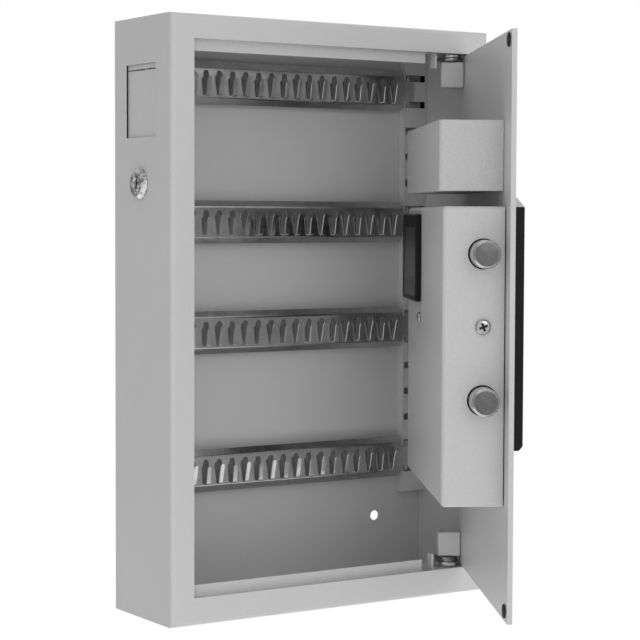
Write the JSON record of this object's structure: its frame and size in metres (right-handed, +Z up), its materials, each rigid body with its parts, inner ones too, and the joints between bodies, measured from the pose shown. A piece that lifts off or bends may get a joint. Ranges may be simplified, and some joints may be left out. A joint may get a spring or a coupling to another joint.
{
  "type": "key cabinet",
  "caption": "Wall-mounted steel key cabinet with a hinged door, an electronic lock with round bolts, slotted rails with hook bars, and a key-drop flap with a cam lock.",
  "frame": {"origin": "centre of the flat back face, which lies on the wall", "axes": "+X to the right seen from the front, +Y into the wall, +Z up"},
  "size_m": [0.325, 0.3247, 0.5],
  "materials": {
    "cabinet_paint": "fine-textured grey powder coat",
    "galvanised": "dull galvanised sheet",
    "steel": "bright turned steel",
    "chrome": "polished nickel-chrome plate",
    "brass": "satin brass",
    "black_plastic": "fine-grained black moulding",
    "key_plastic": "satin dark grey key caps",
    "rubber": "matte black rubber",
    "circuit_board": "green solder-masked board"
  },
  "bodies": {
    "cabinet": {"cabinet_body": "cabinet_paint", "back_panel": "cabinet_paint", "door_stop_top": "cabinet_paint", "door_stop_bottom": "cabinet_paint", "hinge_plate_upper": "cabinet_paint", "hinge_plate_lower": "cabinet_paint", "hinge_pin_upper": "steel", "hinge_pin_lower": "steel", "hinge_washer_upper": "steel", "hinge_washer_lower": "steel", "upright_left": "cabinet_paint", "upright_right": "cabinet_paint", "key_bar_1": "galvanised", "key_bar_2": "galvanised", "key_bar_3": "galvanised", "key_bar_4": "galvanised", "flap_bracket": "cabinet_paint", "flap_pin": "steel", "lock_housing": "chrome", "lock_nut": "steel"},
    "flap": {"drop_flap": "cabinet_paint", "flap_spring": "steel"},
    "lock_core": {"lock_plug": "chrome", "lock_cam": "steel", "cam_screw": "steel"},
    "door": {"door_panel": "cabinet_paint", "hinge_block_upper": "cabinet_paint", "hinge_block_lower": "cabinet_paint", "door_bumper_upper": "rubber", "door_bumper_lower": "rubber", "lock_case": "cabinet_paint", "case_screw": "steel", "cover_screw": "steel", "key_tray": "cabinet_paint", "bolt_guide": "black_plastic", "guide_plate": "steel", "motor_bracket": "galvanised", "gearbox": "brass", "lock_motor": "steel", "circuit_board": "circuit_board", "battery_tray": "black_plastic", "keypad_housing": "black_plastic", "keypad_board": "circuit_board"},
    "cover": {"battery_cover": "black_plastic"},
    "bolt_work": {"bolt_carriage": "galvanised", "bolt_upper": "steel", "bolt_lower": "steel"},
    "pinion": {"drive_pinion": "brass"},
    "button_1": {"key_1": "key_plastic"},
    "button_2": {"key_2": "key_plastic"},
    "button_3": {"key_3": "key_plastic"},
    "button_4": {"key_4": "key_plastic"},
    "button_5": {"key_5": "key_plastic"},
    "button_6": {"key_6": "key_plastic"},
    "button_7": {"key_7": "key_plastic"},
    "button_8": {"key_8": "key_plastic"},
    "button_9": {"key_9": "key_plastic"},
    "button_clear": {"key_clear": "key_plastic"},
    "button_0": {"key_0": "key_plastic"},
    "button_enter": {"key_enter": "key_plastic"}
  },
  "joints": [
    {"name": "door_swing", "type": "hinge", "parent": "cabinet", "child": "door", "pos_m": [0.1295, -0.0835, 0], "axis": [0, 0, 1], "range_deg": [-60.84, 2]},
    {"name": "flap_tilt", "type": "hinge", "parent": "cabinet", "child": "flap", "pos_m": [-0.1535, -0.04725, 0.21], "axis": [0, -1, 0], "range_deg": [0, 35], "stiffness_Nm_per_rad": 0.02, "springref_deg": -17.19},
    {"name": "lock_turn", "type": "hinge", "parent": "cabinet", "child": "lock_core", "pos_m": [-0.16, -0.046, 0.1125], "axis": [1, 0, 0], "range_deg": [-90, 0]},
    {"name": "bolt_throw", "type": "slide", "parent": "door", "child": "bolt_work", "axis": [-0.4873, -0.8733, 0], "range_m": [0, 0.012]},
    {"name": "pinion_spin", "type": "hinge", "parent": "door", "child": "pinion", "pos_m": [0.05033, -0.22026, 0.002], "axis": [-0.8733, 0.4873, 0], "range_deg": [0, 115]},
    {"name": "cover_lift", "type": "slide", "parent": "door", "child": "cover", "axis": [-0.8733, 0.4873, 0], "range_m": [0, 0.015]},
    {"name": "press_1", "type": "slide", "parent": "door", "child": "button_1", "axis": [-0.8733, 0.4873, 0], "range_m": [0, 0.001], "stiffness_N_per_m": 800, "springref_m": -0.0005},
    {"name": "press_2", "type": "slide", "parent": "door", "child": "button_2", "axis": [-0.8733, 0.4873, 0], "range_m": [0, 0.001], "stiffness_N_per_m": 800, "springref_m": -0.0005},
    {"name": "press_3", "type": "slide", "parent": "door", "child": "button_3", "axis": [-0.8733, 0.4873, 0], "range_m": [0, 0.001], "stiffness_N_per_m": 800, "springref_m": -0.0005},
    {"name": "press_4", "type": "slide", "parent": "door", "child": "button_4", "axis": [-0.8733, 0.4873, 0], "range_m": [0, 0.001], "stiffness_N_per_m": 800, "springref_m": -0.0005},
    {"name": "press_5", "type": "slide", "parent": "door", "child": "button_5", "axis": [-0.8733, 0.4873, 0], "range_m": [0, 0.001], "stiffness_N_per_m": 800, "springref_m": -0.0005},
    {"name": "press_6", "type": "slide", "parent": "door", "child": "button_6", "axis": [-0.8733, 0.4873, 0], "range_m": [0, 0.001], "stiffness_N_per_m": 800, "springref_m": -0.0005},
    {"name": "press_7", "type": "slide", "parent": "door", "child": "button_7", "axis": [-0.8733, 0.4873, 0], "range_m": [0, 0.001], "stiffness_N_per_m": 800, "springref_m": -0.0005},
    {"name": "press_8", "type": "slide", "parent": "door", "child": "button_8", "axis": [-0.8733, 0.4873, 0], "range_m": [0, 0.001], "stiffness_N_per_m": 800, "springref_m": -0.0005},
    {"name": "press_9", "type": "slide", "parent": "door", "child": "button_9", "axis": [-0.8733, 0.4873, 0], "range_m": [0, 0.001], "stiffness_N_per_m": 800, "springref_m": -0.0005},
    {"name": "press_clear", "type": "slide", "parent": "door", "child": "button_clear", "axis": [-0.8733, 0.4873, 0], "range_m": [0, 0.001], "stiffness_N_per_m": 800, "springref_m": -0.0005},
    {"name": "press_0", "type": "slide", "parent": "door", "child": "button_0", "axis": [-0.8733, 0.4873, 0], "range_m": [0, 0.001], "stiffness_N_per_m": 800, "springref_m": -0.0005},
    {"name": "press_enter", "type": "slide", "parent": "door", "child": "button_enter", "axis": [-0.8733, 0.4873, 0], "range_m": [0, 0.001], "stiffness_N_per_m": 800, "springref_m": -0.0005}
  ],
  "couplings": [
    {"joint": "pinion_spin", "follows": "bolt_throw", "rad_per_m": 166.67}
  ]
}
